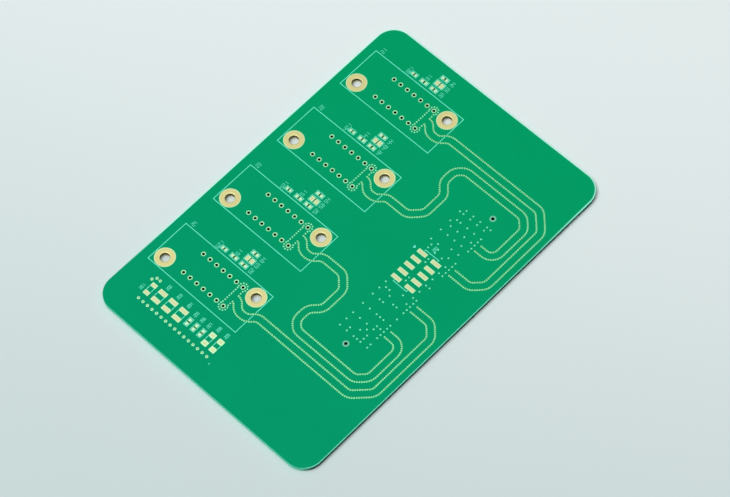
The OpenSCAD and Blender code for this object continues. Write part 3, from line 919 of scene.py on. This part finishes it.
class CIRCUIT_OT_via_fences(bpy.types.Operator):
    """Sets a domed via at each place of the fences, and turns those that guard the end pins"""

    bl_idname = "circuit.via_fences"
    bl_label = "Via Fences"

    def execute(self, context):
        sizes, colours = context.scene.board_sizes, context.scene.board_colours
        material = plating(
            "fence plating", colours.fence_gold, colours.fence_edge, roughness=0.45,
            mouth=colours.fence_edge,
        )
        pad = solids_of("pin_guards_1")[0].half_width
        for m in MODULES:
            node = f"via_fences_{m}"
            radius = pad + sizes.fence_spread
            template = via_cap("fence via", radius, sizes.fence_pit, FENCE_VIA_STEPS, cover=0.4)
            stamp(f"fence_vias_{m}", template, node, material, disc_spots(node, pad))
            radius = pad - sizes.guard_cover
            template = via_cap("guard via", radius, sizes.fence_pit, VIA_STEPS, cover=1.0)
            stamp(f"guard_vias_{m}", template, f"pin_guards_{m}", material)
        return {"FINISHED"}


class CIRCUIT_OT_fence_webs(bpy.types.Operator):
    """Fills the open channel round each fence with the mask that lies between its vias"""

    bl_idname = "circuit.fence_webs"
    bl_label = "Fence Webs"

    def execute(self, context):
        sizes, colours = context.scene.board_sizes, context.scene.board_colours
        material, tree, shader, place = new_material(
            "sunken mask", Roughness=0.4, Specular_IOR_Level=0.02
        )
        grainy(
            tree, shader, place, colours.fence_web,
            broad=300.0, fine=3000.0, spread=0.08, depth=2e-6,
        )
        shape = channel_floor(LAND_TOP - sizes.web_drop, CORE_HIGH.z)
        settle("fence_webs", shape, material, "green_mask")
        return {"FINISHED"}


class CIRCUIT_OT_flat_lands(bpy.types.Operator):
    """Shapes the rectangular lands of the chips, the connector and the filter bank"""

    bl_idname = "circuit.flat_lands"
    bl_label = "Flat Lands"

    def execute(self, context):
        sizes, colours = context.scene.board_sizes, context.scene.board_colours
        material = plating(
            "land plating", colours.chip_gold, colours.gold_edge, roughness=0.4,
            wide=colours.land_gold,
        )
        for node in ("connector_pads", "bank_pads", *numbered("chip_pads")):
            shape = bmesh.new()
            for name in ("rim", "wide"):
                shape.verts.layers.float.new(name)
            for solid in solids_of(node):
                add_land(shape, solid, sizes)
            name = node.replace("pads", "lands")
            settle(name, shape, material, "gold_plating", node, smooth=False)
        return {"FINISHED"}


class CIRCUIT_OT_chip_strips(bpy.types.Operator):
    """Lays the narrow bare strip that shows between the two lands of each chip place"""

    bl_idname = "circuit.chip_strips"
    bl_label = "Chip Strips"

    def execute(self, context):
        sizes, colours = context.scene.board_sizes, context.scene.board_colours
        material, tree, shader, place = new_material(
            "bare strip", Roughness=0.6, Specular_IOR_Level=0.03
        )
        grainy(
            tree, shader, place, colours.chip_strip,
            broad=500.0, fine=5000.0, spread=0.1, depth=4e-6,
        )
        shape = bmesh.new()
        for node in ("bank_pads", *numbered("chip_pads")):
            for one, other in combinations(solids_of(node), 2):
                if (other.middle - one.middle).length <= sizes.chip_reach:
                    add_strip(shape, one, other)
        settle("chip_strips", shape, material, "bare_laminate", smooth=False)
        return {"FINISHED"}


class CIRCUIT_OT_legend(bpy.types.Operator):
    """Gives the printed lines and numbers their ink"""

    bl_idname = "circuit.legend"
    bl_label = "Legend"

    def execute(self, context):
        colours = context.scene.board_colours
        material, tree, shader, place = new_material("legend ink", Specular_IOR_Level=0.2)
        grainy(
            tree, shader, place, colours.ink, broad=800.0, fine=5000.0, spread=0.1,
            depth=4e-6, roughness=0.55,
        )
        coat(material, "connector_legend", "bank_legend", *numbered("module_legend"))
        return {"FINISHED"}


class CIRCUIT_OT_stage(bpy.types.Operator):
    """Sets the pale table, the soft light and the camera"""

    bl_idname = "circuit.stage"
    bl_label = "Stage"

    def execute(self, context):
        scene, settings = context.scene, context.scene.stage_settings
        scene.view_settings.view_transform = "Standard"
        self.lay_table(scene, settings)
        self.hang_lamp(scene, settings)
        self.set_camera(scene, settings)
        self.light_sky(scene, settings)
        return {"FINISHED"}

    def lay_table(self, scene, settings):
        """A wide table just below the board, with a painted light falloff that makes it paler
        beyond the first module.
        """
        shape = bmesh.new()
        bmesh.ops.create_grid(shape, x_segments=8, y_segments=8, size=settings.reach)
        bmesh.ops.translate(shape, verts=shape.verts, vec=(0, 0, CAD_LOW.z - TABLE_GAP))
        table = bpy.data.objects.new("table", mesh_of("table", shape))
        scene.collection.objects.link(table)
        material, tree, shader, place = new_material(
            "pale table", Roughness=0.8, Specular_IOR_Level=0.1
        )
        x, y, _ = axes(tree, place)
        lean = -0.4  # turns the painted light falloff from the board's length towards its width
        along = sums(tree, "MULTIPLY_ADD", x, lean, y)
        share = step(tree, along, -settings.falloff_reach, settings.falloff_reach)
        tone = blend(tree, share, settings.table_shaded, settings.table_lit)
        grainy(tree, shader, place, tone, broad=3.0, fine=700.0, spread=0.008)
        table.data.materials.append(material)

    def hang_lamp(self, scene, settings):
        """A broad lamp that looks at the middle of the board."""
        data = bpy.data.lights.new("soft lamp", "AREA")
        data.size = settings.lamp_size
        data.energy = settings.lamp_power
        lamp = bpy.data.objects.new("soft lamp", data)
        lamp.location = settings.lamp_place
        towards = -Vector(settings.lamp_place)
        lamp.rotation_euler = towards.to_track_quat("-Z", "Y").to_euler()
        scene.collection.objects.link(lamp)

    def set_camera(self, scene, settings):
        """A long lens that looks down on the board from its corner by the connector."""
        data = bpy.data.cameras.new("camera")
        data.lens = settings.lens
        data.sensor_width = 36
        data.clip_start, data.clip_end = 0.01, 20
        look = Vector(settings.camera_look).normalized()
        side = look.cross(Vector(settings.camera_up)).normalized()
        turn = Matrix((side, side.cross(look), -look)).transposed()
        camera = bpy.data.objects.new("camera", data)
        place = Matrix.Translation(Vector(settings.camera_place))
        camera.matrix_world = place @ turn.to_4x4()
        scene.collection.objects.link(camera)
        scene.camera = camera

    def light_sky(self, scene, settings):
        """A studio that is brightest overhead."""
        scene.world = bpy.data.worlds.new("studio")
        scene.world.use_nodes = True
        tree = scene.world.node_tree
        background = tree.nodes["Background"].inputs
        background["Color"].default_value = (1, 1, 1, 1)
        _, _, up = axes(tree, put(tree, "TexCoord").outputs["Generated"])
        height = sums(tree, "POWER", sums(tree, "MAXIMUM", up, 0.0), settings.sky_focus)
        light = sums(tree, "MULTIPLY_ADD", height, settings.sky_rise, settings.sky_low)
        feed(tree, light, background["Strength"])


OPERATORS = (
    CIRCUIT_OT_solder_mask,
    CIRCUIT_OT_laminate,
    CIRCUIT_OT_screw_lands,
    CIRCUIT_OT_pin_lands,
    CIRCUIT_OT_flat_lands,
    CIRCUIT_OT_chip_strips,
    CIRCUIT_OT_field_vias,
    CIRCUIT_OT_bank_vias,
    CIRCUIT_OT_via_fences,
    CIRCUIT_OT_fence_webs,
    CIRCUIT_OT_legend,
    CIRCUIT_OT_stage,
)


class CIRCUIT_PT_board(bpy.types.Panel):
    """Lists the operators that finish the board"""

    bl_label = "Circuit Board"
    bl_idname = "CIRCUIT_PT_board"
    bl_space_type = "VIEW_3D"
    bl_region_type = "UI"
    bl_category = "Circuit Board"

    def draw(self, context):
        for each in OPERATORS:
            self.layout.operator(each.bl_idname)


CLASSES = (BoardColours, BoardSizes, StageSettings, *OPERATORS, CIRCUIT_PT_board)


def register():
    """Registers the classes and hangs the settings on the scene."""
    for each in CLASSES:
        bpy.utils.register_class(each)
    bpy.types.Scene.board_colours = PointerProperty(type=BoardColours)
    bpy.types.Scene.board_sizes = PointerProperty(type=BoardSizes)
    bpy.types.Scene.stage_settings = PointerProperty(type=StageSettings)


def unregister():
    """Takes the settings and classes away again."""
    del bpy.types.Scene.stage_settings
    del bpy.types.Scene.board_sizes
    del bpy.types.Scene.board_colours
    for each in reversed(CLASSES):
        bpy.utils.unregister_class(each)


def main():
    """Finishes the board from its first layer to the stage."""
    register()
    make_grain()
    make_edge_distance()
    for each in OPERATORS:
        family, name = each.bl_idname.split(".")
        getattr(getattr(bpy.ops, family), name)()


if __name__ == "__main__":
    main()
